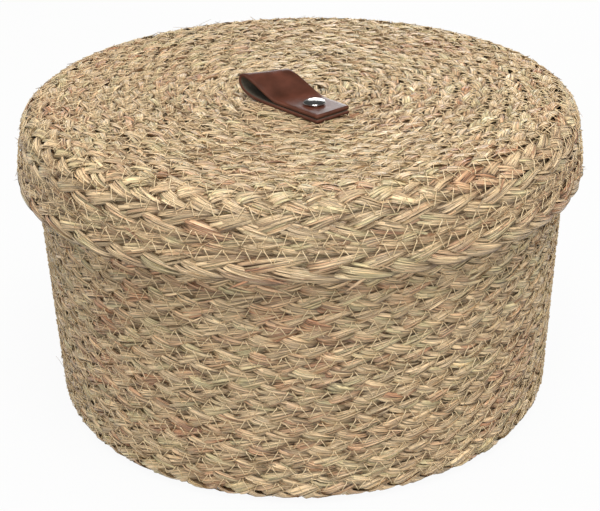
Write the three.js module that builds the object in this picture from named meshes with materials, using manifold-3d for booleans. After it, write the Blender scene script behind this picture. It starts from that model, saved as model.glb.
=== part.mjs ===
// Round lidded basket of coiled, sewn seagrass plait, with a riveted leather pull on its lid.
// Millimetres, +Z up. The origin is the middle of the underside, and the pull lies along X.
import * as THREE from 'three';
import { mergeVertices } from 'three/addons/utils/BufferGeometryUtils.js';
import Module from 'manifold-3d';

const wasm = await Module();
wasm.setup();

// Plait: thickness of the sewn wall, width of one course, depth of the sewn joint between courses
const PLAIT_THICKNESS = 5;
const COURSE_PITCH = 7.4;
const COURSE_GROOVE = 1.1;
// Where the groove, and then the flat back of a course, lie across its width, as parts of one pitch
const COURSE_PHASES = [0, 0.25, 0.75];
// Radius of the tight knot of plait that a flat coil starts from
const COIL_CORE = 5;

// Basket
const FOOT_DIAMETER = 227.8;
const RIM_DIAMETER = 234.2;
const BASKET_HEIGHT = 135.3;
const FOOT_CORNER = 7.7;
const RIM_ROUND = 4;

// Lid
const LID_THICKNESS = 4.4;
const LID_SKIRT_DEPTH = 32;
const LID_SHOULDER = 12.7;
const LID_FLARE = 2.9;
const LID_CLEARANCE = 0.6;
// Plaits of the skirt from its lower edge up: a broad one, a narrow one and a broad one
const LOWER_PLAIT = 9.2;
const MIDDLE_PLAIT = 6.3;
const UPPER_PLAIT = 10.6;

// Leather pull: one strip, folded into a loop, both ends under one rivet
const STRAP_WIDTH = 18;
const STRAP_THICKNESS = 1.7;
const STRAP_TAIL = 26;
const STRAP_REACH = 50.7;
const STRAP_FLAT = 8;
const LOOP_NOSE_HEIGHT = 7.3;
const LOOP_CROWN = 9;
const LOOP_SHOULDER = 5;
const LOOP_BELLY = 10;
const LOOP_CHIN = 4;
const RIVET_FROM_END = 11.5;
const RIVET_X = 27.8;
const RIVET_Y = -15.8;

// Double-cap rivet
const RIVET_CAP_DIAMETER = 9.6;
const RIVET_CAP_RIM = 0.5;
const RIVET_CAP_DOME = 1;
const RIVET_SOCKET = 0.8;
const RIVET_POST_DIAMETER = 4;
const RIVET_BACK_DIAMETER = 9.6;
const RIVET_BACK_THICKNESS = 1.4;
const RIVET_HOLE_CLEARANCE = 0.3;

// Gap between pieces that rest on or touch each other
const SEAT_GAP = 0.3;

// Facets round the basket, round small turned parts, and along a curve
const COLUMNS = 36;
const TURNED_SEGMENTS = 24;
const CORNER_STEPS = 4;
const LOOP_STEPS = 36;

const footRadius = FOOT_DIAMETER / 2;
const rimRadius = RIM_DIAMETER / 2;
const baseEdge = footRadius - FOOT_CORNER;
const lidUnderside = BASKET_HEIGHT + SEAT_GAP;
const lidTop = lidUnderside + LID_THICKNESS;
const skirtBottom = lidTop - LID_SKIRT_DEPTH;
const skirtInner = rimRadius + LID_CLEARANCE;
const skirtOuter = skirtInner + LID_THICKNESS;
const lidEdge = skirtOuter - LID_SHOULDER;
const postRadius = RIVET_POST_DIAMETER / 2;
const rivetHole = postRadius + RIVET_HOLE_CLEARANCE;
const strapBottom = lidTop + SEAT_GAP;
const upperLayer = strapBottom + STRAP_THICKNESS + SEAT_GAP;
const strapTop = upperLayer + STRAP_THICKNESS;
const strapEnd = RIVET_X + RIVET_FROM_END;
const capSeat = strapTop + SEAT_GAP;

const seagrass = new THREE.MeshStandardMaterial({ color: 0xb49b78, roughness: 0.85, metalness: 0 });
const leather = new THREE.MeshStandardMaterial({ color: 0x63382e, roughness: 0.45, metalness: 0 });
const nickel = new THREE.MeshStandardMaterial({ color: 0xd8d8d6, roughness: 0.15, metalness: 1 });

// Joins rings of points, each with one point more than there are columns, into one closed surface.
// Points that coincide are merged, and faces that shrink to a line are left out.
function closedSurface(rings) {
  const positions = rings.flat(2);
  const width = COLUMNS + 1;
  const corners = [];
  rings.forEach((ring, row) => {
    const next = (row + 1) % rings.length;
    for (let column = 0; column < COLUMNS; column += 1) {
      const a = row * width + column;
      const b = next * width + column;
      corners.push(a, a + 1, b + 1, a, b + 1, b);
    }
  });
  const loose = new THREE.BufferGeometry();
  loose.setAttribute('position', new THREE.Float32BufferAttribute(positions, 3));
  loose.setIndex(corners);
  const merged = mergeVertices(loose, 1e-3);
  const index = Array.from(merged.index.array);
  const kept = [];
  for (let i = 0; i < index.length; i += 3) {
    const [a, b, c] = index.slice(i, i + 3);
    if (a !== b && b !== c && c !== a) {
      kept.push(a, b, c);
    }
  }
  merged.setIndex(kept);
  merged.computeVertexNormals();
  return merged;
}

function pointAt(radius, height, column) {
  const angle = (2 * Math.PI * (column % COLUMNS)) / COLUMNS;
  return [radius * Math.cos(angle), radius * Math.sin(angle), height];
}

function plainRing({ x, y }) {
  return Array.from({ length: COLUMNS + 1 }, (_, column) => pointAt(x, y, column));
}

// A shell of revolution whose face is sewn from courses of plait. The face is a path of (radius, height)
// with the outside on its right, and the back lists the points that close the section behind it.
// placeAlong gives how far along the face a point of a row lies, and the rows stop at the face's ends.
function sewnShell(face, back, courses, placeAlong) {
  const length = face.getLength();
  const rings = [];
  for (let course = -1; course <= courses; course += 1) {
    COURSE_PHASES.forEach((phase, step) => {
      const ring = Array.from({ length: COLUMNS + 1 }, (_, column) => {
        const share = THREE.MathUtils.clamp(placeAlong(course + phase, column) / length, 0, 1);
        const inside = share > 0 && share < 1;
        const depth = inside && step === 0 ? COURSE_GROOVE : 0;
        const point = face.getPointAt(share);
        const tangent = face.getTangentAt(share);
        return pointAt(point.x - depth * tangent.y, point.y + depth * tangent.x, column);
      });
      rings.push(ring);
    });
  }
  return closedSurface([...rings, ...back.map(plainRing)]);
}

// One plait sewn in a spiral, which climbs one pitch for each turn
function coiledShell(face, back) {
  const courses = Math.ceil(face.getLength() / COURSE_PITCH) + 1;
  return sewnShell(face, back, courses, (course, column) => (course + column / COLUMNS) * COURSE_PITCH);
}

// Closed rings of plait sewn edge to edge, of the given widths
function ringedShell(face, back, widths) {
  const joints = [0];
  widths.forEach((width) => joints.push(joints.at(-1) + width));
  const last = widths.length - 1;
  return sewnShell(face, back, widths.length, (course) => {
    const ring = THREE.MathUtils.clamp(Math.floor(course), 0, last);
    return joints[ring] + (course - ring) * widths[ring];
  });
}

// Turns a profile of (radius, height) points round the Z axis.
function turned(profile) {
  const points = profile.map(([radius, height]) => new THREE.Vector2(radius, height));
  const geometry = new THREE.LatheGeometry(points, TURNED_SEGMENTS);
  return geometry.rotateX(Math.PI / 2);
}

function solidOf(geometry) {
  const bare = geometry.clone();
  bare.deleteAttribute('normal');
  bare.deleteAttribute('uv');
  const merged = mergeVertices(bare, 1e-4);
  const vertProperties = new Float32Array(merged.attributes.position.array);
  const triVerts = new Uint32Array(merged.index.array);
  return new wasm.Manifold(new wasm.Mesh({ numProp: 3, vertProperties, triVerts }));
}

function subtract(geometry, tool) {
  const { vertProperties, triVerts } = solidOf(geometry).subtract(solidOf(tool)).getMesh();
  const cut = new THREE.BufferGeometry();
  cut.setAttribute('position', new THREE.BufferAttribute(vertProperties, 3));
  cut.setIndex(new THREE.BufferAttribute(triVerts, 1));
  cut.computeVertexNormals();
  return cut;
}

// Basket floor: a flat coil, seen from below, with the backs of its courses flat on the table
function basketBase() {
  const edge = baseEdge - SEAT_GAP;
  const face = new THREE.Path().moveTo(COIL_CORE, 0).lineTo(edge, 0);
  const back = [
    new THREE.Vector2(edge, PLAIT_THICKNESS),
    new THREE.Vector2(0, PLAIT_THICKNESS),
    new THREE.Vector2(0, 0),
  ];
  return coiledShell(face, back);
}

// Basket wall: the coil turns up at the foot, leans out to the lid's lower edge, and stands straight in the lid
function basketWall() {
  const face = new THREE.Path();
  face.moveTo(baseEdge, 0);
  face.absarc(baseEdge, FOOT_CORNER, FOOT_CORNER, -Math.PI / 2, 0);
  face.lineTo(rimRadius, skirtBottom);
  face.lineTo(rimRadius, BASKET_HEIGHT - RIM_ROUND);
  face.absarc(rimRadius - RIM_ROUND, BASKET_HEIGHT - RIM_ROUND, RIM_ROUND, 0, Math.PI / 2);
  const innerCorner = Math.max(FOOT_CORNER - PLAIT_THICKNESS, SEAT_GAP);
  const inside = new THREE.Path();
  inside.moveTo(rimRadius - PLAIT_THICKNESS, BASKET_HEIGHT);
  inside.lineTo(rimRadius - PLAIT_THICKNESS, skirtBottom);
  inside.lineTo(footRadius - PLAIT_THICKNESS, PLAIT_THICKNESS + innerCorner);
  const innerEdge = footRadius - PLAIT_THICKNESS - innerCorner;
  inside.absarc(innerEdge, PLAIT_THICKNESS + innerCorner, innerCorner, 0, -Math.PI / 2, true);
  inside.lineTo(baseEdge, PLAIT_THICKNESS);
  return coiledShell(face, inside.getPoints(CORNER_STEPS));
}

// Lid top: a flat coil with a hole for the rivet
function lidTopCoil() {
  const edge = lidEdge - SEAT_GAP;
  const face = new THREE.Path().moveTo(edge, lidTop).lineTo(COIL_CORE, lidTop);
  const back = [
    new THREE.Vector2(0, lidTop),
    new THREE.Vector2(0, lidUnderside),
    new THREE.Vector2(edge, lidUnderside),
  ];
  const hole = new THREE.CylinderGeometry(rivetHole, rivetHole, 3 * LID_THICKNESS, TURNED_SEGMENTS);
  hole.rotateX(Math.PI / 2).translate(RIVET_X, RIVET_Y, lidTop);
  return subtract(coiledShell(face, back), hole);
}

// Lid skirt: a broad, a narrow and a broad plait up the flared skirt, then courses like the lid top's round
// the shoulder. Its hollow follows the basket's rim at the lid's clearance.
function lidSkirt() {
  const face = new THREE.Path();
  face.moveTo(skirtOuter + LID_FLARE, skirtBottom);
  face.lineTo(skirtOuter, lidTop - LID_SHOULDER);
  face.absarc(lidEdge, lidTop - LID_SHOULDER, LID_SHOULDER, 0, Math.PI / 2);
  const hollow = new THREE.Path();
  hollow.moveTo(lidEdge, lidUnderside);
  hollow.lineTo(skirtInner - RIM_ROUND, lidUnderside);
  hollow.absarc(skirtInner - RIM_ROUND, lidUnderside - RIM_ROUND, RIM_ROUND, Math.PI / 2, 0, true);
  hollow.lineTo(skirtInner + LID_FLARE, skirtBottom);
  const skirtPlaits = [LOWER_PLAIT, MIDDLE_PLAIT, UPPER_PLAIT];
  const shoulder = skirtPlaits.reduce((rest, width) => rest - width, face.getLength());
  const shoulderCourses = Math.max(Math.round(shoulder / COURSE_PITCH), 1);
  const shoulderPlaits = new Array(shoulderCourses).fill(Math.max(shoulder, 0) / shoulderCourses);
  return ringedShell(face, hollow.getPoints(CORNER_STEPS), [...skirtPlaits, ...shoulderPlaits]);
}

// One flat end of the strap, punched for the rivet
function strapTail(bottom) {
  const shape = new THREE.Shape();
  shape.moveTo(strapEnd - STRAP_TAIL + SEAT_GAP, RIVET_Y - STRAP_WIDTH / 2);
  shape.lineTo(strapEnd, RIVET_Y - STRAP_WIDTH / 2);
  shape.lineTo(strapEnd, RIVET_Y + STRAP_WIDTH / 2);
  shape.lineTo(strapEnd - STRAP_TAIL + SEAT_GAP, RIVET_Y + STRAP_WIDTH / 2);
  shape.closePath();
  shape.holes.push(new THREE.Path().absarc(RIVET_X, RIVET_Y, rivetHole, 0, 2 * Math.PI, true));
  const settings = { depth: STRAP_THICKNESS, bevelEnabled: false, curveSegments: TURNED_SEGMENTS };
  return new THREE.ExtrudeGeometry(shape, settings).translate(0, 0, bottom);
}

// The strap's loop, in side view: flat on the lid, up round the nose, and down onto its lower layer
function strapLoop() {
  const bend = strapEnd - STRAP_TAIL;
  const lower = strapBottom + STRAP_THICKNESS / 2;
  const upper = upperLayer + STRAP_THICKNESS / 2;
  const flatEnd = bend - STRAP_FLAT;
  const nose = strapEnd - STRAP_REACH + STRAP_THICKNESS / 2;
  const noseHeight = lidTop + LOOP_NOSE_HEIGHT;
  const middle = new THREE.Path();
  middle.moveTo(bend, lower);
  middle.lineTo(flatEnd, lower);
  middle.bezierCurveTo(flatEnd - LOOP_BELLY, lower, nose, noseHeight - LOOP_CHIN, nose, noseHeight);
  middle.bezierCurveTo(nose, noseHeight + LOOP_CROWN, bend - LOOP_SHOULDER, upper, bend, upper);
  const edges = [1, -1].map((side) => Array.from({ length: LOOP_STEPS + 1 }, (_, step) => {
    const point = middle.getPointAt(step / LOOP_STEPS);
    const tangent = middle.getTangentAt(step / LOOP_STEPS);
    const offset = (side * STRAP_THICKNESS) / 2;
    return new THREE.Vector2(point.x - offset * tangent.y, point.y + offset * tangent.x);
  }));
  const shape = new THREE.Shape([...edges[0], ...edges[1].reverse()]);
  const geometry = new THREE.ExtrudeGeometry(shape, { depth: STRAP_WIDTH, bevelEnabled: false });
  return geometry.rotateX(Math.PI / 2).translate(0, RIVET_Y + STRAP_WIDTH / 2, 0);
}

// Domed cap with a socket underneath for the post
function rivetCap() {
  const radius = RIVET_CAP_DIAMETER / 2;
  const dome = new THREE.EllipseCurve(0, RIVET_CAP_RIM, radius, RIVET_CAP_DOME, 0, Math.PI / 2);
  const profile = [
    [0, RIVET_SOCKET],
    [rivetHole, RIVET_SOCKET],
    [rivetHole, 0],
    [radius, 0],
    ...dome.getPoints(CORNER_STEPS).slice(0, -1).map(({ x, y }) => [x, y]),
    [0, RIVET_CAP_RIM + RIVET_CAP_DOME],
  ];
  return turned(profile).translate(RIVET_X, RIVET_Y, capSeat);
}

// Post with its flat back under the lid
function rivetPost() {
  const back = RIVET_BACK_DIAMETER / 2;
  const backTop = lidUnderside - SEAT_GAP;
  const postTop = capSeat + RIVET_SOCKET - SEAT_GAP;
  const profile = [
    [0, backTop - RIVET_BACK_THICKNESS],
    [back - RIVET_BACK_THICKNESS / 2, backTop - RIVET_BACK_THICKNESS],
    [back, backTop - RIVET_BACK_THICKNESS / 2],
    [back, backTop],
    [postRadius, backTop],
    [postRadius, postTop],
    [0, postTop],
  ];
  return turned(profile).translate(RIVET_X, RIVET_Y, 0);
}

function piece(name, geometry, material) {
  const mesh = new THREE.Mesh(geometry, material);
  mesh.name = name;
  return mesh;
}

const basket = new THREE.Group();
basket.add(
  piece('basket_base', basketBase(), seagrass),
  piece('basket_wall', basketWall(), seagrass),
);

const strap = new THREE.Group();
strap.add(
  piece('strap_lower_tail', strapTail(strapBottom), leather),
  piece('strap_upper_tail', strapTail(upperLayer), leather),
  piece('strap_loop', strapLoop(), leather),
);

const lid = new THREE.Group();
lid.add(
  piece('lid_top', lidTopCoil(), seagrass),
  piece('lid_skirt', lidSkirt(), seagrass),
  piece('rivet_post', rivetPost(), nickel),
  piece('rivet_cap', rivetCap(), nickel),
  strap,
);

const lidded = new THREE.Group();
lidded.add(basket, lid);

export default lidded;
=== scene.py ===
from collections import namedtuple

import bpy
import numpy as np
from mathutils import Matrix, Vector


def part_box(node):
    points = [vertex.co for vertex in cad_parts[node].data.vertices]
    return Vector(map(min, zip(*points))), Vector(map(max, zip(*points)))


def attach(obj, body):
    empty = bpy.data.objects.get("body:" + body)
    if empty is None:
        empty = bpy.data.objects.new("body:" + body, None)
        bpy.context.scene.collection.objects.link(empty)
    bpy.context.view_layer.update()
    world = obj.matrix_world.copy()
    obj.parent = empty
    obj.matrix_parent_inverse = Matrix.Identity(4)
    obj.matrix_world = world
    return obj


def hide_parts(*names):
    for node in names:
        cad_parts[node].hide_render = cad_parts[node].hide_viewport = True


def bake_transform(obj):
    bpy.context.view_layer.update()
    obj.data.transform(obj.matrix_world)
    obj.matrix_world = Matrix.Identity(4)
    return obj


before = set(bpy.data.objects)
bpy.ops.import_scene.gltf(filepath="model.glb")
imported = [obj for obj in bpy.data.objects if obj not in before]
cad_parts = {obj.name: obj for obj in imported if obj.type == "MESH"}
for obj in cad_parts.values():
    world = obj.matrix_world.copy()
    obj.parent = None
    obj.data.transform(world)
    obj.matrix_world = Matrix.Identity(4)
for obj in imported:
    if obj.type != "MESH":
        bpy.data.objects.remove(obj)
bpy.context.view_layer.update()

# Basket coil
# One long three-strand plait of seagrass, wound flat from the middle of the floor and on up the wall.
# Each strand is a bundle of flat blades. The coil ends in a taper along the rim.
CAMERA_AZIMUTH = 49
FRONT = np.radians(CAMERA_AZIMUTH - 90)
FOOT_RADIUS = 0.1139
FOOT_CORNER = 0.0077
WALL_THICKNESS = 0.005
COURSE = 0.0074
PAST_AXIS = 0.012
CURVE_STEP = 0.0004
RIM_TUCK = 0.0009
FIRST_TURN = 0.3
RIM_TAPER = 0.7
TURN_SAMPLES = 240
THINNEST = 0.15
PHASE_KNOT = 0.05
PHASE_STRAY = 0.6
LINE_KNOT = 0.06
LINE_STRAY = 0.0004
SEED = 11

# A shell is the half section of a wall, and a course is the line of a plait on a shell. A plait is given by
# the length of its pattern, how far its strands swing and where they fold, how high they rise, their half
# width, half thickness and ceiling, how round, uneven and ragged they are, the blades in their two layers,
# and a sampling step.
Shell = namedtuple("Shell", "along radius height out_radius out_height spread")
Course = namedtuple("Course", "angle along width run phase closed")
Plait = namedtuple(
    "Plait", "period swing edge lift half_width half_thickness ceiling crown uneven ragged outer inner step",
)

fine_plait = Plait(
    period=0.041, swing=0.0043, edge=0.0044, lift=0.0014, half_width=0.0026, half_thickness=0.00075,
    ceiling=0.004, crown=0.7, uneven=0.0002, ragged=0.25, outer=5, inner=3, step=0.0024,
)
floor_plait = fine_plait._replace(
    lift=0.0009, half_thickness=0.0007, crown=0.5, ragged=0.1, outer=3, step=0.003,
)
dice = np.random.default_rng(SEED)


def straight(start, end):
    """Even points from start up to, but not including, end."""
    count = int(np.ceil(np.hypot(end[0] - start[0], end[1] - start[1]) / CURVE_STEP))
    return np.linspace(start, end, count, endpoint=False)


def bend(centre, radius, start, end):
    """Even points on an arc about centre, from start up to, but not including, end, in degrees."""
    turn = np.radians(np.linspace(start, end, int(abs(end - start)), endpoint=False))
    return np.array(centre) + radius * np.stack([np.cos(turn), np.sin(turn)], -1)


def steps_of(points):
    """Distances from each point of a path to the next."""
    return np.linalg.norm(np.diff(points, axis=0), axis=1)


def half_section(*stretches):
    """Table of a wall's middle line in the (radius, height) plane: the distance along it, its
    outward normal, which is the direction of travel turned a quarter turn to the right, and how much
    longer its outer face is."""
    points = np.vstack(stretches)
    along = np.concatenate([[0], np.cumsum(steps_of(points))])
    travel = np.gradient(points, along, axis=0)
    travel /= np.linalg.norm(travel, axis=1, keepdims=True)
    turned = np.gradient(np.unwrap(np.arctan2(travel[:, 1], travel[:, 0])), along)
    window = int(COURSE / CURVE_STEP)
    spread = 1 + np.convolve(turned, np.ones(window) / window, "same") * fine_plait.lift
    return Shell(along, points[:, 0], points[:, 1], travel[:, 1], -travel[:, 0], spread)


def on_shell(shell, angle, along, out):
    """Point at an angle round the axis, a distance along the half section, and so far out
    from its middle line."""
    radius, height, out_radius, out_height = (np.interp(along, shell.along, column) for column in shell[1:5])
    radius = radius + out * out_radius
    return np.stack([radius * np.cos(angle), radius * np.sin(angle), height + out * out_height], -1)


def outward(shell, angle, along):
    """Outward normal of a shell at an angle and a distance along it."""
    return on_shell(shell, angle, along, 1.0) - on_shell(shell, angle, along, 0.0)


def climb(turns):
    """Courses gained after so many turns from the front. Each turn is level round the front half and gains
    one course across the back half, in a smooth step."""
    part = np.clip(2 * (turns % 1) - 0.5, 0, 1)
    return np.floor(turns) + part * part * (3 - 2 * part)


def wander(share, knots, size, count=1):
    """Random curves, one per column, that come back to their start: random heights at even knots, joined
    by half cosine waves."""
    knots = max(int(knots), 2)
    heights = dice.uniform(-size, size, (knots, count))
    place = share[:, None] * knots
    low = np.floor(place).astype(int)
    ease = (1 - np.cos(np.pi * (place - low))) / 2
    column = np.arange(count)
    return heights[low % knots, column] * (1 - ease) + heights[(low + 1) % knots, column] * ease


def course_on(shell, turns, along, width, plait, closed=False):
    """A plait's line on a shell, sampled evenly by length. Its phase grows by a full circle for each
    period, give or take a little, and its line strays by part of a millimetre."""
    angle = FRONT + 2 * np.pi * turns
    reach = np.maximum(np.abs(np.interp(along, shell.along, shell.radius)), fine_plait.half_width)
    pace = (reach[1:] + reach[:-1]) / 2 * np.diff(angle)
    run = np.concatenate([[0], np.cumsum(pace)])
    count = int(run[-1] / plait.step)
    even = np.linspace(0, run[-1], count, endpoint=not closed)
    share = even / run[-1]
    periods = run[-1] / plait.period
    if closed:
        periods = np.round(periods)
    phase = 2 * np.pi * periods * share + wander(share, run[-1] / PHASE_KNOT, PHASE_STRAY)[:, 0]
    strayed = np.interp(even, run, along) + wander(share, run[-1] / LINE_KNOT, LINE_STRAY)[:, 0]
    widened = np.interp(even, run, width) * np.interp(strayed, shell.along, shell.spread)
    return Course(np.interp(even, run, angle), strayed, widened, even, phase, closed)


def wound_course(shell, first, courses, start, end, plait):
    """A plait that gains one course each turn. Before the first level course and after the last one it
    tapers away in the wedge that the coil leaves there."""
    turns = np.linspace(start, end, int(TURN_SAMPLES * (end - start)))
    gained = climb(turns)
    level = np.clip(gained, 0, courses)
    over = gained - level
    width = np.clip(1 - np.abs(over), THINNEST, 1)
    return course_on(shell, turns, first + COURSE * (level + over / 2), width, plait)


def heading(path, closed):
    """Unit direction of travel at each point of a path, from the points on either side of it."""
    if closed:
        travel = np.roll(path, -1, axis=-2) - np.roll(path, 1, axis=-2)
    else:
        travel = np.gradient(path, axis=-2)
    return travel / np.linalg.norm(travel, axis=-1, keepdims=True)


def swept(path, up, across, above, closed=False):
    """A section carried along a path: each ring lies square to the path, with above measured towards up
    and across measured to its side."""
    travel = heading(path, closed)
    square = up - travel * np.sum(up * travel, -1, keepdims=True)
    square /= np.linalg.norm(square, axis=-1, keepdims=True)
    side = np.cross(square, travel)
    ring = side[..., None, :] * across[..., None] + square[..., None, :] * above[..., None]
    return path[..., None, :] + ring


BAKE_MARGIN = 0.04


def tube_faces(rings, columns, closed):
    """Faces of one tube, as groups of faces with equally many corners. Each group has the corners as
    (ring, column) pairs, the number of the unrolled strip that each face lies in, and the corners' places
    in it, from 0 to 1 each way. An open tube's ends are closed, by a triangle or by rows of quads that
    join opposite columns."""
    lengths = rings if closed else rings - 1
    i, j = np.meshgrid(np.arange(lengths), np.arange(columns), indexing="ij")
    corners = np.stack([np.stack([i, i, i + 1, i + 1], -1), np.stack([j, j + 1, j + 1, j], -1)], -1)
    corners = corners.reshape(-1, 4, 2)
    strip = corners[:, 0, 0]
    local = np.stack([corners[..., 0] - strip[:, None], corners[..., 1] / columns], -1)
    groups = [(corners, strip, local)]
    if closed:
        return groups
    if columns == 3:
        column = np.array([(2, 1, 0), (0, 1, 2)])
        ring = np.array([(0, 0, 0), (lengths, lengths, lengths)])
        edge = np.stack([ring / lengths, column / columns], -1)
        groups.append((np.stack([ring, column], -1), np.array([0, lengths - 1]), edge))
        return groups
    caps = columns // 2 - 1
    k = np.arange(caps)
    across = np.stack([k, k + 1, columns - 2 - k, columns - 1 - k], -1)
    rise = np.stack([k, k + 1, k + 1, k], -1) / caps
    reach = np.broadcast_to([0, 0, 1, 1], rise.shape)
    first = np.stack([np.zeros_like(across), across[:, ::-1]], -1)
    last = np.stack([np.full_like(across, rings - 1), across], -1)
    groups.append((first, np.full(caps, lengths), np.stack([1 - reach, rise], -1)))
    groups.append((last, np.full(caps, lengths + 1), np.stack([reach, rise], -1)))
    return groups


def in_scene(name, data):
    """A new object of some data, in the scene."""
    made = bpy.data.objects.new(name, data)
    bpy.context.scene.collection.objects.link(made)
    return made


def tubes(name, points, marks, spread, closed=False, relief=None, crease=None):
    """A mesh of tubes from points in the order tube, ring, column. The map named blades holds marks, the
    length at each ring, and the tube's number plus spread, the column's place across it. The map named
    OFBake unrolls every tube into rows of strips, none over another. Relief is how far each point stands
    out of the weave, from 0 to 1, and sets how much painted shade the seagrass finish lays on it. Edges
    sharper than crease, in degrees, stay sharp."""
    count, rings, columns, _ = points.shape
    groups = tube_faces(rings, columns, closed)
    strips = max(strip.max() for _, strip, _ in groups) + 1
    girth = steps_of(points[0, rings // 2]).sum()
    stride = steps_of(points[0, :, 0]).mean()
    per_row = int(np.ceil(np.sqrt(count * strips * girth / stride)))
    rows = int(np.ceil(count * strips / per_row))
    tube = np.arange(count)[:, None, None]
    vertex = []
    pattern = []
    unrolled = []
    sizes = []
    for corners, strip, local in groups:
        ring = corners[..., 0]
        column = corners[..., 1]
        vertex.append(((tube * rings + ring % rings) * columns + column % columns).ravel())
        pattern.append(np.stack([marks[:, ring], tube + np.asarray(spread)[column]], -1).ravel())
        number = tube * strips + strip[:, None]
        u = (number % per_row + local[..., 0]) / per_row
        v = (number // per_row + BAKE_MARGIN + (1 - 2 * BAKE_MARGIN) * local[..., 1]) / rows
        unrolled.append(np.stack([u, v], -1).ravel())
        sizes.append(np.full(count * len(corners), corners.shape[1]))
    vertex = np.concatenate(vertex).astype(np.int32)
    sizes = np.concatenate(sizes)

    mesh = bpy.data.meshes.new(name)
    mesh.vertices.add(count * rings * columns)
    mesh.vertices.foreach_set("co", points.astype(np.float32).ravel())
    mesh.loops.add(len(vertex))
    mesh.loops.foreach_set("vertex_index", vertex)
    mesh.polygons.add(len(sizes))
    mesh.polygons.foreach_set("loop_start", (np.cumsum(sizes) - sizes).astype(np.int32))
    mesh.update(calc_edges=True)
    mesh.shade_smooth()
    if crease:
        mesh.set_sharp_from_angle(angle=np.radians(crease))
    for title, places in (("blades", pattern), ("OFBake", unrolled)):
        layer = mesh.uv_layers.new(name=title)
        layer.uv.foreach_set("vector", np.concatenate(places).astype(np.float32))
    if relief is not None:
        stands = mesh.attributes.new("relief", "FLOAT", "POINT")
        stands.data.foreach_set("value", relief.astype(np.float32).ravel())
    return in_scene(name, mesh)


BLADE_SPREAD = (0.02, 0.98, 0.5, 0.02)
BLADE_CREASE = 40
BLADE_KEEL = 0.0004
BLADE_WIDTH = 0.0012
BLADE_KNOT = 0.03
BLADE_STRAY = 0.0003
BLADE_OVERLAP = 1.5
BLADE_UNEVEN = 0.3
MARK_RANGE = 20
SPLAY = 0.25
LEVELLING = 16
OUTWARD = 0.66
TURNED = 0.74
TURNED_REACH = 0.9
CROSSING = 0.26
TOP = 0.16


def blade_section(across, above, half_width, keel, tilt, face):
    """Section of flat blades: two edges and a keel behind them, tilted about the middle of the flat side.
    Face is 1 for a blade with its flat side up and -1 for one with its flat side down."""
    none = 0 * half_width
    flat = np.stack([half_width * face, -half_width * face, none], -1)
    deep = np.stack([none, none, none - keel * face], -1)
    cosine = np.cos(tilt)[..., None]
    sine = np.sin(tilt)[..., None]
    return across[..., None] + flat * cosine - deep * sine, above[..., None] + flat * sine + deep * cosine


def weave(phase):
    """How far a strand is across the plait and out of it, each from -1 to 1. In each half turn of its
    phase it runs straight out from the middle to one edge on the face of the plait, and comes back faster
    behind it. Its height is the cosine of an angle that is 0 where it tops the middle, a right angle at
    the edge and two behind that."""
    halves = phase / np.pi
    half = np.floor(halves)
    part = halves - half
    across = np.interp(part, [0, OUTWARD, TURNED, 1], [0, 1, TURNED_REACH, 0])
    parts = [TOP - CROSSING, TOP, OUTWARD, 1 + TOP - CROSSING, 1 + TOP]
    height = np.cos(np.interp(part, parts, [-1, 0, 0.5, 1, 2]) * np.pi)
    return np.where(half % 2, -across, across), height


def pressed(across, edge):
    """A distance from the middle of a plait, pressed in towards its edge as by a fold: edge times the
    hyperbolic tangent of the distance over edge."""
    return edge * np.tanh(across / edge)


def flattened(stand, ceiling):
    """How far points stand out of the weave, levelled out as they come near a ceiling: the inverse powers
    of the two are added, and the root is taken."""
    return stand / (1 + np.abs(stand / ceiling) ** LEVELLING) ** (1 / LEVELLING)


def strand(name, shell, course, plait, number):
    """One of the plait's three strands, a third of a turn from the one before, so it passes over one
    neighbour and under the next. It is a flat bundle of blades in two layers, each of which runs a little
    early or late, wanders and tilts on its own."""
    rings = len(course.run)
    share = course.run / course.run[-1] * (1 - course.closed / rings)
    knots = course.run[-1] / BLADE_KNOT
    phase = course.phase + 2 * np.pi * number / 3
    swing, height = weave(phase)
    out = plait.lift * height + wander(share, knots, plait.uneven)[:, 0]
    middle = pressed(plait.swing * swing, plait.edge)
    along = course.along + course.width * middle
    path = on_shell(shell, course.angle, along, out)
    up = outward(shell, course.angle, along)

    blades = plait.outer + plait.inner
    layers = np.array([plait.outer, plait.inner])
    face = np.repeat([1, -1], layers)
    place = np.concatenate([(2 * np.arange(layer) + 1) / layer - 1 for layer in layers])
    half_blade = BLADE_OVERLAP * plait.half_width / np.repeat(layers, layers)
    narrowed = course.width[:, None]
    own_swing, own_height = weave(phase[:, None] + wander(share, knots, SPLAY, blades))
    reach = plait.swing * own_swing + plait.half_width * place
    reach = reach + wander(share, knots, BLADE_STRAY, blades)
    across = narrowed * (pressed(reach, plait.edge) - middle[:, None])
    early = plait.lift * (own_height - height[:, None])
    above = face * plait.half_thickness * (1 - plait.crown * place ** 2) + early
    above = above + wander(share, knots, plait.uneven / 2, blades)
    tilt = -plait.crown * place * face + wander(share, knots, plait.ragged, blades)
    half_width = narrowed * half_blade * (1 + wander(share, knots, BLADE_UNEVEN, blades))
    across, above = blade_section(across, above, half_width, BLADE_KEEL, tilt, face)
    stand = flattened(out[:, None, None] + above, plait.ceiling)
    above = stand - out[:, None, None]

    points = swept(path, up, across.reshape(rings, -1), above.reshape(rings, -1), course.closed)
    points = points.reshape(rings, blades, 3, 3).swapaxes(0, 1)
    length = np.append(course.run, course.run[-1] + plait.step) + MARK_RANGE * dice.random()
    marks = np.tile(length, (blades, 1))
    # The relief, how far each blade stands out of the weave, sets how much painted shade it gets.
    relief = np.abs(stand.swapaxes(0, 1)) / (plait.lift + plait.half_thickness)
    return tubes(name, points, marks, BLADE_SPREAD, course.closed, relief, BLADE_CREASE)


PACKING_HALF = 0.0003
PACKING_STEP = 0.0037
PACKING_COLUMNS = 120
# Relief given to the packing, which sets only how dark its painted shade is.
PACKING_RELIEF = 0.4


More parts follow.
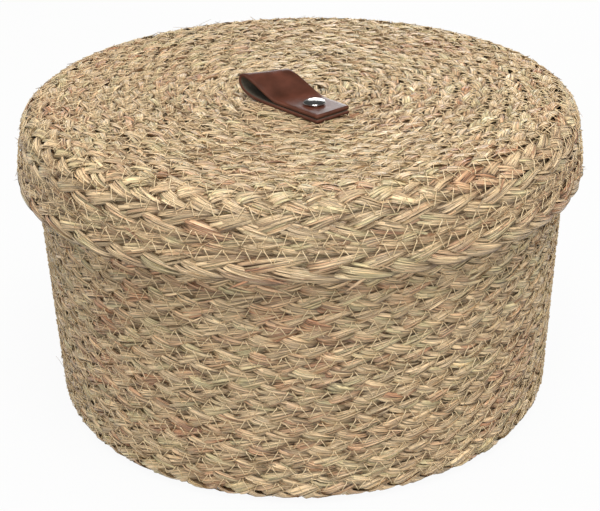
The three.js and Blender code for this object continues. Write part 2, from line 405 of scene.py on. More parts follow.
def packing(name, shell, low, high, relief, fill=0):
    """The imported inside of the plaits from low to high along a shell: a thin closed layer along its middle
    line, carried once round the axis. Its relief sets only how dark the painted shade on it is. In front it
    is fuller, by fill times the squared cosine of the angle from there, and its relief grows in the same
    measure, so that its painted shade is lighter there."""
    along = np.append(np.arange(low, high, PACKING_STEP), high)
    there_and_back = np.append(along, along[::-1])
    side = np.repeat([1, -1], len(along))
    turn = np.linspace(0, 2 * np.pi, PACKING_COLUMNS, endpoint=False)
    angle, place = np.meshgrid(turn, there_and_back, indexing="ij")
    half = PACKING_HALF + fill * np.maximum(np.cos(angle - FRONT), 0) ** 2
    points = on_shell(shell, angle, place, side * half)
    marks = np.linspace(0, 1, PACKING_COLUMNS + 1)[None]
    blades = np.append(there_and_back, low) / BLADE_WIDTH
    return tubes(name, points[None], marks, blades, True, relief * half / PACKING_HALF)


_, wall_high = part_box("basket_wall")
skirt_low, skirt_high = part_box("lid_skirt")
half_wall = WALL_THICKNESS / 2
floor_edge = FOOT_RADIUS - FOOT_CORNER
wall_radius = wall_high.x - half_wall
basket_shell = half_section(
    straight((-PAST_AXIS, half_wall), (floor_edge, half_wall)),
    bend((floor_edge, FOOT_CORNER), FOOT_CORNER - half_wall, -90, 0),
    straight((FOOT_RADIUS - half_wall, FOOT_CORNER), (wall_radius, skirt_low.z)),
    straight((wall_radius, skirt_low.z), (wall_radius, wall_high.z)),
    [(wall_radius, wall_high.z)],
)
rim = basket_shell.along[-1] - RIM_TUCK
basket_courses = int((rim - PAST_AXIS) / COURSE - 0.5)
basket_first = rim - COURSE * (basket_courses + 0.5)
floor_courses = int((floor_edge + PAST_AXIS - basket_first) / COURSE) - 0.5
wall_middle = (floor_courses + basket_courses) // 2


def basket_course(start, end, plait):
    """Part of the basket's coil, from one turn to another."""
    return wound_course(basket_shell, basket_first, basket_courses, start, end, plait)


floor_course = basket_course(FIRST_TURN, floor_courses, floor_plait)
lower_course = basket_course(floor_courses, wall_middle, fine_plait)
upper_course = basket_course(wall_middle, basket_courses + RIM_TAPER, fine_plait)


class Wire:
    """An output socket in a material's node tree. Arithmetic on it adds Math nodes, and add
    makes any other."""

    def __init__(self, tree, socket=None):
        self.tree = tree
        self.socket = socket

    def add(self, kind, settings=None, sockets=None, output=0):
        """A new node of a kind, with its settings, then the values or wires of its sockets,
        as its output."""
        node = self.tree.nodes.new(kind)
        for name, value in (settings or {}).items():
            if name == "stops":
                self.fill(node.color_ramp, value)
            else:
                setattr(node, name, value)
        for name, value in (sockets or {}).items():
            self.plug(value, node.inputs[name])
        return Wire(self.tree, node.outputs[output])

    def plug(self, value, socket):
        if isinstance(value, Wire):
            self.tree.links.new(value.socket, socket)
        else:
            socket.default_value = value

    def fill(self, ramp, stops):
        while len(ramp.elements) < len(stops):
            ramp.elements.new(1)
        for element, (place, code) in zip(ramp.elements, stops):
            element.position = place
            element.color = colour(code)

    def math(self, operation, *values):
        return self.add("ShaderNodeMath", {"operation": operation}, dict(enumerate(values)))

    def __add__(self, other):
        return self.math("ADD", self, other)

    def __sub__(self, other):
        return self.math("SUBTRACT", self, other)

    def __rsub__(self, other):
        return self.math("SUBTRACT", other, self)

    def __mul__(self, other):
        return self.math("MULTIPLY", self, other)

    def __pow__(self, other):
        return self.math("POWER", self, other)

    def __abs__(self):
        return self.math("ABSOLUTE", self)

    __radd__ = __add__
    __rmul__ = __mul__

    def shaded(self, value):
        """This colour, made lighter or darker by a value."""
        return self.add("ShaderNodeVectorMath", {"operation": "SCALE"}, {0: self, "Scale": value})

    def mixed(self, other, factor):
        """This colour, mixed towards another by a factor."""
        return self.add("ShaderNodeMix", {"data_type": "RGBA"}, {0: factor, 6: self, 7: other}, 2)

    def ranged(self, low, high, to_low=0, to_high=1):
        """This value, carried from the range low to high over to another, and held inside that."""
        sockets = {"Value": self, "From Min": low, "From Max": high, "To Min": to_low, "To Max": to_high}
        return self.add("ShaderNodeMapRange", None, sockets)

    def ramped(self, *stops):
        """The colour that this value has on a ramp, whose stops are places and hexadecimal colours."""
        return self.add("ShaderNodeValToRGB", {"stops": stops}, {"Fac": self})

    def noise(self, scale, detail):
        """Noise at this place, with so many features to the unit."""
        return self.add("ShaderNodeTexNoise", None, {"Vector": self, "Scale": scale, "Detail": detail})

    def with_y(self, y):
        """The place whose first two coordinates are this value and another."""
        return self.add("ShaderNodeCombineXYZ", None, {"X": self, "Y": y})

    def part(self, axis):
        """One coordinate of this place."""
        return self.add("ShaderNodeSeparateXYZ", None, {"Vector": self}, axis)


def colour(code):
    """A colour as it looks on a screen, in hexadecimal, as the linear light that a shader takes."""
    screen = np.array([int(code[i:i + 2], 16) for i in (0, 2, 4)]) / 255
    linear = np.where(screen < 0.04045, screen / 12.92, ((screen + 0.055) / 1.055) ** 2.4)
    return (*linear, 1)


def material(name, paint):
    """A material whose Principled sockets are the values or wires that paint gives by name."""
    made = bpy.data.materials.new(name)
    made.use_nodes = True
    shader = made.node_tree.nodes["Principled BSDF"]
    wire = Wire(made.node_tree)
    for socket, value in paint(wire).items():
        wire.plug(value, shader.inputs[socket])
    return made


DRY_COLOURS = (
    (0.22, "8c6a4a"), (0.31, "b5835f"), (0.39, "c4a07a"), (0.47, "ccb087"),
    (0.53, "d3b78f"), (0.59, "c2b286"), (0.65, "d9bf92"), (0.76, "f3ddb7"),
)
# Dark brown of the painted shade deep in the weave.
PAINTED_SHADE_COLOUR = "5f452b"
BUNDLE_CHANGES = 30
BLADE_CHANGES = 22
LIGHT_CHANGES = 35
FIBRE_CHANGES = 70
FIBRES = 3.3
RUSTY_PATCHES = 20
FIBRE_DEPTH = 0.0003


def dried_blades(wire):
    """Seagrass: each strand keeps to a few neighbouring colours, each blade has its own, with fine
    fibres along it and painted shade in a thin dark line along either edge, rusty patches lie over both,
    and painted shade makes all of it darker towards the inside of the weave. Changes are counted to the
    metre along a blade, and each blade has a row of its own in the noise."""
    place = wire.add("ShaderNodeUVMap", {"uv_map": "blades"})
    along = place.part("X")
    across = place.part("Y")
    blade = across.math("FLOOR", across)
    edge = abs((across - blade) * 2 - 1)
    bundle = (along * BUNDLE_CHANGES).with_y(0.5).noise(1, 1)
    own_row = blade * 7.3 + 40
    own = (along * BLADE_CHANGES).with_y(own_row).noise(1, 1)
    spot = wire.add("ShaderNodeTexCoord", None, None, "Object")
    rusty = spot.noise(RUSTY_PATCHES, 2).ranged(0.5, 0.7, 0, 0.08)
    tint = (0.5 * bundle + 0.5 * own - rusty).ramped(*DRY_COLOURS)
    light_row = blade * 5.1 + 90
    light = (along * LIGHT_CHANGES).with_y(light_row).noise(1, 2)
    streak = (along * FIBRE_CHANGES).with_y(across * FIBRES).noise(1, 2).ranged(0.34, 0.62)
    relief = wire.add("ShaderNodeAttribute", {"attribute_name": "relief"}, None, "Fac")
    # Painted shade: blades that lie low in the weave, by their relief, are mixed towards the dark brown.
    deep = relief.ranged(0.1, 0.75, 0.75, 0)
    # Painted shade: the last factor darkens each blade towards both its edges, in thin lines as of the
    # grooves between blades.
    shade = (0.9 * streak + 1.6 * light - 0.17) * (1 - 0.95 * edge ** 5)
    base = tint.shaded(shade).mixed(colour(PAINTED_SHADE_COLOUR), deep)
    bump = wire.add("ShaderNodeBump", None, {"Strength": 1.0, "Distance": FIBRE_DEPTH, "Height": streak})
    return {"Base Color": base, "Roughness": 0.62 - 0.4 * light, "Normal": bump, "Specular IOR Level": 0.8}


seagrass = material("seagrass", dried_blades)


def dress(piece, body, finish, slot, *nodes):
    """Gives a piece its finish, puts it under the body that it rides on, and hides the solids that it stands
    for.
    """
    piece.data.materials.append(finish)
    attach(piece, body)
    if nodes:
        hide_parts(*nodes)


for label, course, plait, node in (
    ("floor", floor_course, floor_plait, "basket_base"),
    ("lower_wall", lower_course, fine_plait, "basket_wall"),
    ("upper_wall", upper_course, fine_plait, "basket_wall"),
):
    for number in range(3):
        basket_strand = strand(f"{label}_strand_{number + 1}", basket_shell, course, plait, number)
        dress(basket_strand, "basket", seagrass, "seagrass_plait", node)
packing_start = PAST_AXIS + CURVE_STEP
basket_packing = packing("basket_packing", basket_shell, packing_start, rim - half_wall, PACKING_RELIEF)
dress(basket_packing, "basket", seagrass, "seagrass_plait")

# Basket stitching
# Pale cotton thread in a machine zigzag over every joint between two courses, outside and inside.
# Each leg of the zigzag lies on the plaits and dives into them at both ends.
STITCH_LENGTH = 0.0072
STITCH_HEIGHT = 0.005
STITCH_GAP = 0.0008
STITCH_JITTER = 0.0003
SLANT_JITTER = 0.15
LAY_JITTER = 0.0001
THREAD_RADIUS = 0.0002
THREAD_PROUD = 0.00035
THREAD_SIDES = np.radians([0, 120, 240])
THREAD_SPREAD = (0, 0.33, 0.67, 1)
LEG_MARKS = 0.9
FLOOR_STITCH_START = 0.8
RIM_STITCH_END = 0.3
SEEN_LEG = np.array([(0, 0.0013), (0.14, 0.0001), (0.5, 0.0004), (0.86, 0.0001), (1, 0.0013)])
HIDDEN_LEG = np.array([(0, 0.001), (0.5, 0.0002), (1, 0.001)])


def stitch_row(shell, turns, along, lay, leg_shape):
    """Legs of a zigzag that runs along a joint: each leg crosses the joint at a slant, every other one the
    other way. The leg's shape gives stations along it and how far it sinks there below its lay."""
    stations, sink = leg_shape.T
    row = course_on(shell, turns, along, np.ones_like(along), fine_plait)
    pace = STITCH_LENGTH / 2
    leg = np.arange(int(row.run[-1] / pace))
    start = leg * pace + STITCH_GAP / 2 + dice.normal(0, STITCH_JITTER, len(leg))
    span = pace - STITCH_GAP + dice.normal(0, STITCH_JITTER, len(leg))
    run = start[:, None] + span[:, None] * stations
    slant = np.where(leg % 2, 1, -1) * STITCH_HEIGHT / 2 * dice.normal(1, SLANT_JITTER, len(leg))
    angle = np.interp(run, row.run, row.angle)
    across = np.interp(run, row.run, row.along) + slant[:, None] * (2 * stations - 1)
    out = np.sign(lay) * (np.abs(lay) - sink) + dice.normal(0, LAY_JITTER, (len(leg), 1))
    path = on_shell(shell, angle, across, out)
    ring = np.full((*path.shape[:2], 1), THREAD_RADIUS)
    up = outward(shell, angle, across)
    return swept(path, up, ring * np.cos(THREAD_SIDES), ring * np.sin(THREAD_SIDES))


def thread_piece(name, legs):
    """One object of all the legs, each with its own place on the thread for the finish."""
    points = np.concatenate(legs)
    marks = np.arange(len(points))[:, None] + np.linspace(0, LEG_MARKS, points.shape[1])
    return tubes(name, points, marks, THREAD_SPREAD)


def cotton(wire):
    """Undyed cotton: cream, a little lighter or darker from one stitch to the next."""
    place = wire.add("ShaderNodeUVMap", {"uv_map": "blades"})
    along = place.part("X")
    tone = (along * 3.7).with_y(along * 0.9).noise(1, 2)
    return {"Base Color": tone.ramped((0.3, "cdb083"), (0.7, "efdab3")), "Roughness": 0.6 + 0.3 * tone}


thread = material("thread", cotton)
plait_face = fine_plait.lift + fine_plait.half_thickness
thread_lay = plait_face + THREAD_PROUD
samples = TURN_SAMPLES * basket_courses
wall_turns = np.linspace(floor_courses + 1, basket_courses - RIM_STITCH_END, samples)
floor_turns = np.linspace(FLOOR_STITCH_START, floor_courses + 1, samples)
for name, turns, lay, leg_shape in (
    ("wall_stitching_outside", wall_turns, thread_lay, SEEN_LEG),
    ("wall_stitching_inside", wall_turns, -thread_lay, HIDDEN_LEG),
    ("floor_stitching_under", floor_turns, thread_lay - THREAD_RADIUS, HIDDEN_LEG),
    ("floor_stitching_inside", floor_turns, -thread_lay, HIDDEN_LEG),
):
    joint = basket_first + COURSE * (climb(turns) + 0.5)
    stitching = thread_piece(name, [stitch_row(basket_shell, turns, joint, lay, leg_shape)])
    dress(stitching, "basket", thread, "seagrass_plait")

# Loose blade ends on the basket
# Ends of blades that were laid in while plaiting stick out of the weave, and some are split to thin fibres.
WALL_ENDS = 900
END_STATIONS = np.linspace(0, 1, 6)
END_LENGTH = (0.005, 0.015)
END_HALF_WIDTH = (0.0002, 0.0006)
END_TAPER = 0.9
END_KEEL = 0.0002
END_LEAN = 0.27
LEAN_JITTER = 0.2
END_TILT = 0.3
END_ROOT = 0.0008
END_RISE = 0.0009
END_LIFT = 0.0005
SPLIT_SHARE = 0.15
SPLIT_LONGER = 1.5
SPLIT_HIGHER = 2
SPLIT_HALF_WIDTH = 0.00012
SPLIT_KEEL = 0.0001
CHOICES = 400
NEAR_AXIS = 0.004


def loose_ends(name, shell, count, low, high, lay):
    """Blade ends on a shell between two distances along it, spread evenly over its area. Each
    starts inside the weave, runs with the plait at a slant and lifts by the square of the distance,
    as it narrows to its tip."""
    choice = np.linspace(low, high, CHOICES)
    weight = np.cumsum(np.abs(np.interp(choice, shell.along, shell.radius)) + NEAR_AXIS / 2)
    along = np.interp(dice.random(count) * weight[-1], weight, choice)[:, None]
    radius = np.maximum(np.abs(np.interp(along, shell.along, shell.radius)), NEAR_AXIS)
    one_each = (count, 1)
    split = dice.random(one_each) < SPLIT_SHARE
    length = dice.uniform(*END_LENGTH, one_each) * np.where(split, SPLIT_LONGER, 1)
    lean = dice.choice([-1, 1], one_each) * dice.normal(END_LEAN, LEAN_JITTER, one_each)
    way = dice.choice([-1, 1], one_each)
    lift = dice.exponential(END_LIFT, one_each) * np.where(split, SPLIT_HIGHER, 1)
    run = length * END_STATIONS
    angle = dice.uniform(0, 2 * np.pi, one_each) + way * run * np.cos(lean) / radius
    aside = along + run * np.sin(lean)
    path = on_shell(shell, angle, aside, lay - END_ROOT + (END_RISE + lift) * END_STATIONS ** 2)
    up = outward(shell, angle, aside)
    half_width = np.where(split, SPLIT_HALF_WIDTH, dice.uniform(*END_HALF_WIDTH, one_each))
    half_width = half_width * (1 - END_TAPER * END_STATIONS ** 3)
    tilt = np.broadcast_to(dice.normal(0, END_TILT, one_each), half_width.shape)
    keel = np.where(split, SPLIT_KEEL, END_KEEL)
    across, above = blade_section(0 * half_width, 0 * half_width, half_width, keel, tilt, 1)
    marks = run + dice.uniform(0, MARK_RANGE, one_each)
    relief = np.ones((count, len(END_STATIONS), 3))
    return tubes(name, swept(path, up, across, above), marks, BLADE_SPREAD, False, relief, BLADE_CREASE)


foot = PAST_AXIS + floor_edge + 2 * FOOT_CORNER
wall_ends = loose_ends("wall_loose_ends", basket_shell, WALL_ENDS, foot, rim - COURSE, plait_face)
dress(wall_ends, "basket", seagrass, "seagrass_plait")

# Lid coil
# The same fine plait, wound from the shoulder of the lid in to the middle of its top.
# It starts in a taper beside the upper broad plait of the skirt, and is packed fullest towards the front.
LID_THICKNESS = 0.0044
SHOULDER = 0.0127
SKIRT_RADIUS = 0.1221
BELOW_EDGE = 0.006
SHOULDER_ROW = 0.02496
SHOULDER_TAPER = 0.7
LID_LAST_TURN = 0.4
# Relief of the lid's packing, which sets only how dark its painted shade is.
LID_PACKING_RELIEF = 0.16
LID_FILL = 0.0012

half_lid = LID_THICKNESS / 2
lid_edge = np.array([skirt_high.x - half_lid, skirt_low.z])
skirt_top = np.array([SKIRT_RADIUS - half_lid, skirt_high.z - SHOULDER])
down_skirt = (lid_edge - skirt_top) / np.linalg.norm(lid_edge - skirt_top)
shoulder_centre = (SKIRT_RADIUS - SHOULDER, skirt_high.z - SHOULDER)
lid_middle = skirt_high.z - half_lid
lid_shell = half_section(
    straight(lid_edge + BELOW_EDGE * down_skirt, skirt_top),
    bend(shoulder_centre, SHOULDER - half_lid, 0, 90),
    straight((shoulder_centre[0], lid_middle), (-PAST_AXIS, lid_middle)),
    [(-PAST_AXIS, lid_middle)],
)
lid_plait = fine_plait._replace(
    period=0.036, edge=0.0041, lift=0.0021, half_width=0.0024, half_thickness=0.0009, ceiling=0.00245,
    crown=0.9, uneven=0.0006, ragged=0.75,
)
shoulder_row = BELOW_EDGE + SHOULDER_ROW
lid_first = shoulder_row + COURSE / 2
lid_centre = lid_shell.along[-1] - PAST_AXIS
lid_courses = int((lid_centre - lid_first) / COURSE)
lid_end = lid_courses + LID_LAST_TURN
lid_course = wound_course(lid_shell, lid_first, lid_courses, -SHOULDER_TAPER, lid_end, lid_plait)
for number in range(3):
    lid_strand = strand(f"lid_top_strand_{number + 1}", lid_shell, lid_course, lid_plait, number)
    dress(lid_strand, "lid", seagrass, "seagrass_plait", "lid_top")
packing_end = lid_centre - CURVE_STEP
lid_packing = packing("lid_packing", lid_shell, shoulder_row, packing_end, LID_PACKING_RELIEF, LID_FILL)
dress(lid_packing, "lid", seagrass, "seagrass_plait")

# Lid skirt
# Two broad plaits with a narrow flat one between them, each sewn into a ring.
# The upper broad plait rounds the shoulder, and the lower one makes the lid's edge.
LOWER_RING = 0.0041
NARROW_RING = 0.01235
UPPER_RING = 0.0202
RING_SAMPLES = 721

broad_plait = Plait(
    period=0.0552, swing=0.0052, edge=0.0059, lift=0.0014, half_width=0.0030, half_thickness=0.0009,
    ceiling=0.004, crown=0.7, uneven=0.0002, ragged=0.25, outer=7, inner=4, step=0.0024,
)
narrow_plait = fine_plait._replace(
    swing=0.0024, edge=0.0042, lift=0.0008, half_width=0.002, half_thickness=0.0006,
)
ring_turns = np.linspace(0.5, 1.5, RING_SAMPLES)
for label, place, plait in (
    ("lower", LOWER_RING, broad_plait),
    ("narrow", NARROW_RING, narrow_plait),
    ("upper", UPPER_RING, broad_plait),
):
    line = np.full_like(ring_turns, BELOW_EDGE + place)
    ring_course = course_on(lid_shell, ring_turns, line, np.ones_like(line), plait, True)
    for number in range(3):
        skirt_strand = strand(f"skirt_{label}_strand_{number + 1}", lid_shell, ring_course, plait, number)
        dress(skirt_strand, "lid", seagrass, "seagrass_plait", "lid_skirt")
skirt_packing = packing("skirt_packing", lid_shell, BELOW_EDGE + half_lid, shoulder_row, PACKING_RELIEF)
dress(skirt_packing, "lid", seagrass, "seagrass_plait")

# Lid stitching
# The same cotton zigzag, over the joints of the lid's coil, along both sides of the skirt's narrow plait
# and above its upper broad plait.
ROWS_ON_SKIRT = (0.0092, 0.0155, SHOULDER_ROW)
SKIRT_THREAD_PROUD = 0.0005
LID_STITCH_END = 0.8

skirt_face = broad_plait.lift + broad_plait.half_thickness
skirt_lay = skirt_face + SKIRT_THREAD_PROUD
coil_lay = lid_plait.ceiling + THREAD_PROUD
coil_turns = np.linspace(-SHOULDER_TAPER, lid_courses - LID_STITCH_END, TURN_SAMPLES * lid_courses)
coil_joint = lid_first + COURSE * (climb(coil_turns) + 0.5)
for side, sign, leg_shape in (("outside", 1, SEEN_LEG), ("inside", -1, HIDDEN_LEG)):
    coil_legs = [stitch_row(lid_shell, coil_turns, coil_joint, sign * coil_lay, leg_shape)]
    dress(thread_piece(f"lid_stitching_{side}", coil_legs), "lid", thread, "seagrass_plait")
    ring_legs = []
    for place in ROWS_ON_SKIRT:
        line = np.full_like(ring_turns, BELOW_EDGE + place)
        ring_legs.append(stitch_row(lid_shell, ring_turns, line, sign * skirt_lay, leg_shape))
    dress(thread_piece(f"skirt_stitching_{side}", ring_legs), "lid", thread, "seagrass_plait")

# Loose blade ends on the lid
# The same stray ends, most of them on the top, where the coil is beaten flat.
TOP_ENDS = 1300
SKIRT_ENDS = 260

top_ends = loose_ends("lid_top_loose_ends", lid_shell, TOP_ENDS, shoulder_row, lid_centre, lid_plait.ceiling)
dress(top_ends, "lid", seagrass, "seagrass_plait")
skirt_ends = loose_ends("skirt_loose_ends", lid_shell, SKIRT_ENDS, BELOW_EDGE, shoulder_row, skirt_face)
dress(skirt_ends, "lid", seagrass, "seagrass_plait")

# Rivet
# A nickel-plated double-cap rivet: a shallow dome on the strap, and a post with a flat back under the lid.
RIVET_COLUMNS = 48
AXIS_GAP = 0.0001
CAP_RIM = ((0.93, 0), (0.98, 0.1))
DOME_FOOT = 0.28
DOME_RISE = np.radians(np.linspace(0, 89, 22))
BACK_RIM = ((0.8, 0), (0.95, 0.2), (1, 0.6), (1, 1))
BACK_THICKNESS = 0.0014
POST_RADIUS = 0.002


def lathe(name, centre, profile):
    """A turned piece: circles of the profile's radii, stacked at its heights about an upright axis."""
    turn = 2 * np.pi * np.arange(RIVET_COLUMNS) / RIVET_COLUMNS
    radius, height = np.array(profile).T[..., None]
    circle = np.stack([radius * np.cos(turn), radius * np.sin(turn), height + 0 * turn], -1)
    points = circle + np.array([centre[0], centre[1], 0])
    marks = np.linspace(0, 1, len(profile))
    return tubes(name, points[None], marks[None], np.linspace(0, 1, RIVET_COLUMNS + 1))


def rounded_rim(shares, radius, low, height):
    """Points of a rim, given as shares of a radius and of a height above its low side."""
    return [(radius * across, low + height * up) for across, up in shares]


def plated_nickel(wire):
    """Polished nickel, with faint cloudy wear in its gloss."""
    cloud = wire.add("ShaderNodeTexCoord", None, None, "Object").noise(900, 3)
    return {"Base Color": colour("d9d8d4"), "Metallic": 1, "Roughness": 0.1 + 0.16 * cloud}


nickel = material("nickel", plated_nickel)
cap_low, cap_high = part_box("rivet_cap")
cap_radius = (cap_high.x - cap_low.x) / 2
cap_height = cap_high.z - cap_low.z
cap_rim = rounded_rim(CAP_RIM, cap_radius, cap_low.z, cap_height)
dome_height = cap_height * (DOME_FOOT + (1 - DOME_FOOT) * np.sin(DOME_RISE))
dome = np.stack([cap_radius * np.cos(DOME_RISE), cap_low.z + dome_height], -1)
cap = lathe("rivet_cap_dome", (cap_low + cap_high) / 2, [(AXIS_GAP, cap_low.z), *cap_rim, *dome])
dress(cap, "lid", nickel, "nickel", "rivet_cap")

post_low, post_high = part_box("rivet_post")
back_radius = (post_high.x - post_low.x) / 2
back_rim = rounded_rim(BACK_RIM, back_radius, post_low.z, BACK_THICKNESS)
shank = [(POST_RADIUS, post_low.z + BACK_THICKNESS), (POST_RADIUS, post_high.z), (AXIS_GAP, post_high.z)]
post = lathe("rivet_back", (post_low + post_high) / 2, [(AXIS_GAP, post_low.z), *back_rim, *shank])
dress(post, "lid", nickel, "nickel", "rivet_post")

# Strap
# A strip of red-brown leather, folded into a loop with both ends under the rivet.
# Its grain side faces out, its flesh side is bare suede, and its cut edges are dark.
STRAP_FLAT = 0.008
LOOP_CROWN = 0.0075
LOOP_SHOULDER = 0.006
LOOP_BELLY = 0.010
LOOP_CHIN = 0.004
NOSE_HEIGHT = 0.0073
FAR_EDGE_RISE = 0.0006
FAR_EDGE_SKEW = 0.0095
FAR_EDGE_SLOPE = 0.012
EDGE_ROUND = 0.0005
EDGE_ANGLES = np.radians([-60, -30, 0, 30, 60])
FACE_COLUMNS = 15
STRAP_STEPS = 160
CURVE_POINTS = 60
GRAIN_DEPTH = 0.0002


def bezier(start, first, second, end):
    """Points on a cubic curve from start up to, but not including, end."""
    t = np.linspace(0, 1, CURVE_POINTS, endpoint=False)[:, None]
    return ((1 - t) ** 3 * np.array(start) + 3 * t * (1 - t) ** 2 * np.array(first)
            + 3 * t * t * (1 - t) * np.array(second) + t ** 3 * np.array(end))


lower_low, lower_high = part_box("strap_lower_tail")
upper_low, upper_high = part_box("strap_upper_tail")
loop_low, loop_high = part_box("strap_loop")
leather_thickness = lower_high.z - lower_low.z
hinge_x = loop_high.x
lower_layer = (lower_low.z + lower_high.z) / 2
upper_layer = (upper_low.z + upper_high.z) / 2
flat_end = hinge_x - STRAP_FLAT
nose_x = loop_low.x + leather_thickness / 2
nose_z = skirt_high.z + NOSE_HEIGHT


def side_view(nose_x, nose_z, slope_end):
    """One edge of the strip seen from the side, as even points from its lower end round the nose
    to its upper end: straight tails joined by two cubic curves, the second of which comes down to
    the tail at slope_end."""
    chin = (nose_x, nose_z - LOOP_CHIN)
    crown = (nose_x, nose_z + LOOP_CROWN)
    route = np.vstack([
        straight((lower_high.x, lower_layer), (flat_end, lower_layer)),
        bezier((flat_end, lower_layer), (flat_end - LOOP_BELLY, lower_layer), chin, (nose_x, nose_z)),
        bezier((nose_x, nose_z), crown, (slope_end - LOOP_SHOULDER, upper_layer), (slope_end, upper_layer)),
        straight((slope_end, upper_layer), (upper_high.x, upper_layer)),
        [(upper_high.x, upper_layer)],
    ])
    length = np.concatenate([[0], np.cumsum(steps_of(route))])
    even = np.linspace(0, length[-1], STRAP_STEPS)
    return np.stack([np.interp(even, length, column) for column in route.T], -1), even


near_edge, strip_run = side_view(nose_x, nose_z, hinge_x)
far_edge, _ = side_view(nose_x + FAR_EDGE_SKEW, nose_z + FAR_EDGE_RISE, hinge_x + FAR_EDGE_SLOPE)
strap_y = (lower_low.y + lower_high.y) / 2
half_strap = (lower_high.y - lower_low.y) / 2
strip_path = np.insert(near_edge, 1, strap_y, axis=1)

half_leather = leather_thickness / 2
flat_across = np.linspace(half_strap - EDGE_ROUND, -half_strap + EDGE_ROUND, FACE_COLUMNS)
top_face = np.stack([flat_across, np.full_like(flat_across, half_leather)], -1)
edge_across = half_strap - EDGE_ROUND * (1 - np.cos(EDGE_ANGLES))
edge_up = np.stack([edge_across, half_leather * np.sin(EDGE_ANGLES)], -1)
section = np.vstack([edge_up[2:], top_face, -edge_up, -top_face, edge_up[:2]])
section_across, section_above = np.broadcast_to(section.T[:, None], (2, STRAP_STEPS, len(section)))
side_of_strip = np.cross(heading(strip_path, False), [0, 1, 0])
strap_points = swept(strip_path, side_of_strip, section_across, section_above)
far_share = (strap_points[..., 1] - strap_y) / half_strap / 2 + 0.5
strap_points += np.insert(far_edge - near_edge, 1, 0, axis=1)[:, None] * far_share[..., None]
strap = tubes("leather_strap", strap_points[None], strip_run[None], np.linspace(0, 1, len(section) + 1))
grain_side = strap.data.attributes.new("grain_side", "FLOAT", "POINT")
grain_side.data.foreach_set("value", (section_above / half_leather).astype(np.float32).ravel())


def oiled_leather(wire):
    """Red-brown leather: pebbled, glossy grain on the outside, grey suede inside, and dark
    burnished edges."""
    place = wire.add("ShaderNodeTexCoord", None, None, "Object")
    facing = wire.add("ShaderNodeAttribute", {"attribute_name": "grain_side"}, None, "Fac")
    outside = facing.ranged(0.7, 0.98)
    inside = facing.ranged(-0.7, -0.98)
    cloud = place.noise(130, 4)
    fuzz = place.noise(3000, 2)
    pebble_sockets = {"Vector": place, "Scale": 1500}
    pebble = wire.add("ShaderNodeTexVoronoi", {"feature": "DISTANCE_TO_EDGE"}, pebble_sockets)
    grain_tint = cloud.ramped((0.3, "3f2216"), (0.7, "5c3325"))
    suede_tint = fuzz.ramped((0.3, "38332c"), (0.7, "5a5346"))
    edge_tint = cloud.ramped((0.3, "4e2c20"), (0.7, "6d4232"))
    tint = edge_tint.mixed(grain_tint, outside).mixed(suede_tint, inside)
    height = pebble.math("MINIMUM", pebble * 3, 0.5) * outside + fuzz * inside
    bump = wire.add("ShaderNodeBump", None, {"Strength": 0.2, "Distance": GRAIN_DEPTH, "Height": height})
    roughness = 0.75 - 0.47 * outside + 0.1 * cloud
    return {"Base Color": tint, "Roughness": roughness, "Normal": bump, "Specular IOR Level": 0.3}


leather = material("leather", oiled_leather)
strap.data.materials.append(leather)
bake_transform(strap)
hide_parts("strap_lower_tail", "strap_upper_tail", "strap_loop")

# Studio
# A plain white floor, a soft sky, a broad lamp above and in front of the basket, a weak one low in front
# and a weak one low behind, and the camera of the photograph.
CAMERA_ELEVATION = 25.88
CAMERA_ROLL = -1.08
CAMERA_DISTANCE = 0.6284
CAMERA_TARGET = np.array([0, 0, 0.05855])
FOCAL_LENGTH = 81
SENSOR_WIDTH = 36
FRAME_SHIFT = -0.0034
FLOOR_HALF = 9
FLOOR_WHITE = 0.94
SKY_LIGHT = 0.73
ROOM_DARKNESS = 0.94

azimuth = np.radians(CAMERA_AZIMUTH)
elevation = np.radians(CAMERA_ELEVATION)
roll = np.radians(CAMERA_ROLL)
level = np.array([np.cos(azimuth), np.sin(azimuth), 0])
flat_ahead = np.array([-np.sin(azimuth), np.cos(azimuth), 0])
ahead = np.cos(elevation) * flat_ahead - np.array([0, 0, np.sin(elevation)])
upright = np.cross(level, ahead)


def seen_directly(wire):
    """1 for what the camera sees, straight or by reflection, and 0 for light that falls on the object."""
    rays = ("Is Camera Ray", "Is Glossy Ray", "Is Transmission Ray")
    camera, glossy, transmitted = (wire.add("ShaderNodeLightPath", None, None, ray) for ray in rays)
    return wire.math("MAXIMUM", wire.math("MAXIMUM", camera, glossy), transmitted)


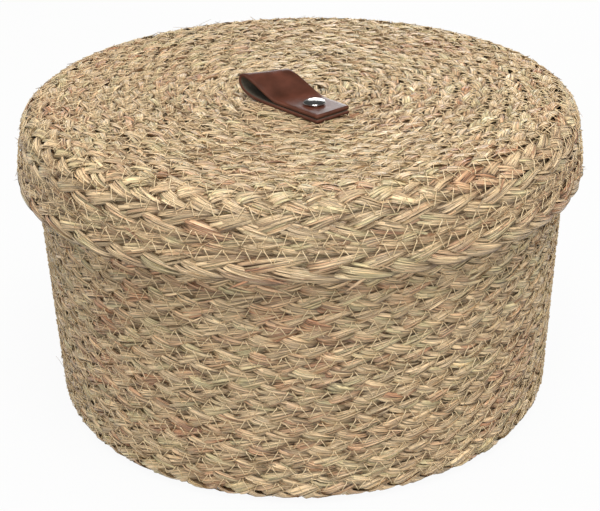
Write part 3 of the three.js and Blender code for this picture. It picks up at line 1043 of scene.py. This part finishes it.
floor_mesh = bpy.data.meshes.new("floor")
floor_corners = [(FLOOR_HALF * x, FLOOR_HALF * y, 0) for x, y in ((-1, -1), (1, -1), (1, 1), (-1, 1))]
floor_mesh.from_pydata(floor_corners, [], [(0, 1, 2, 3)])
in_scene("floor", floor_mesh)
paper = bpy.data.materials.new("paper")
paper.use_nodes = True
wire = Wire(paper.node_tree)
matt = wire.add("ShaderNodeBsdfDiffuse", None, {"Color": colour("c6c6c4")})
glow = wire.add("ShaderNodeEmission", None, {"Color": colour("ffffff"), "Strength": 1.0})
surface = wire.add("ShaderNodeMixShader", None, {0: seen_directly(wire) * FLOOR_WHITE, 1: matt, 2: glow})
wire.plug(surface, paper.node_tree.nodes["Material Output"].inputs["Surface"])
floor_mesh.materials.append(paper)

# The sky lights the object evenly. In a mirror it is a low white backdrop ahead, in a dark room.
world = bpy.data.worlds.new("studio")
bpy.context.scene.world = world
world.use_nodes = True
wire = Wire(world.node_tree)
towards = wire.add("ShaderNodeTexCoord", None, None, "Generated")
ahead_sockets = {0: towards, 1: flat_ahead}
ahead_share = wire.add("ShaderNodeVectorMath", {"operation": "DOT_PRODUCT"}, ahead_sockets, "Value")
backdrop = ahead_share.ranged(-0.1, 0.3) * towards.part("Z").ranged(0.32, 0.18)
mirrored = wire.add("ShaderNodeLightPath", None, None, "Is Glossy Ray")
dark_room = 1 - ROOM_DARKNESS * mirrored * (1 - backdrop)
sky_strength = (SKY_LIGHT + (1 - SKY_LIGHT) * seen_directly(wire)) * dark_room
sky = wire.add("ShaderNodeBackground", None, {"Color": colour("ffffff"), "Strength": sky_strength})
wire.plug(sky, world.node_tree.nodes["World Output"].inputs["Surface"])

for name, away, aside, height, size, power in (
    ("key", -0.42, 0.08, 1.12, 0.5, 9.8),
    ("front", -1.1, 0.1, 0.42, 0.5, 1.8),
    ("fill", 0.85, 0.1, 0.33, 0.3, 1.2),
):
    lamp = bpy.data.lights.new(name, "AREA")
    lamp.size = size
    lamp.energy = power
    holder = in_scene(name, lamp)
    holder.location = away * flat_ahead + aside * level + np.array([0, 0, height])
    holder.rotation_euler = (holder.location - Vector(CAMERA_TARGET)).to_track_quat("Z", "Y").to_euler()

camera = bpy.data.cameras.new("camera")
camera.lens = FOCAL_LENGTH
camera.sensor_width = SENSOR_WIDTH
camera.shift_x = FRAME_SHIFT
tripod = in_scene("camera", camera)
stance = np.eye(4)
stance[:3, 0] = level * np.cos(roll) + upright * np.sin(roll)
stance[:3, 1] = upright * np.cos(roll) - level * np.sin(roll)
stance[:3, 2] = -ahead
stance[:3, 3] = CAMERA_TARGET - CAMERA_DISTANCE * ahead
tripod.matrix_world = Matrix(stance)
bpy.context.scene.camera = tripod
bpy.context.scene.view_settings.view_transform = "Standard"
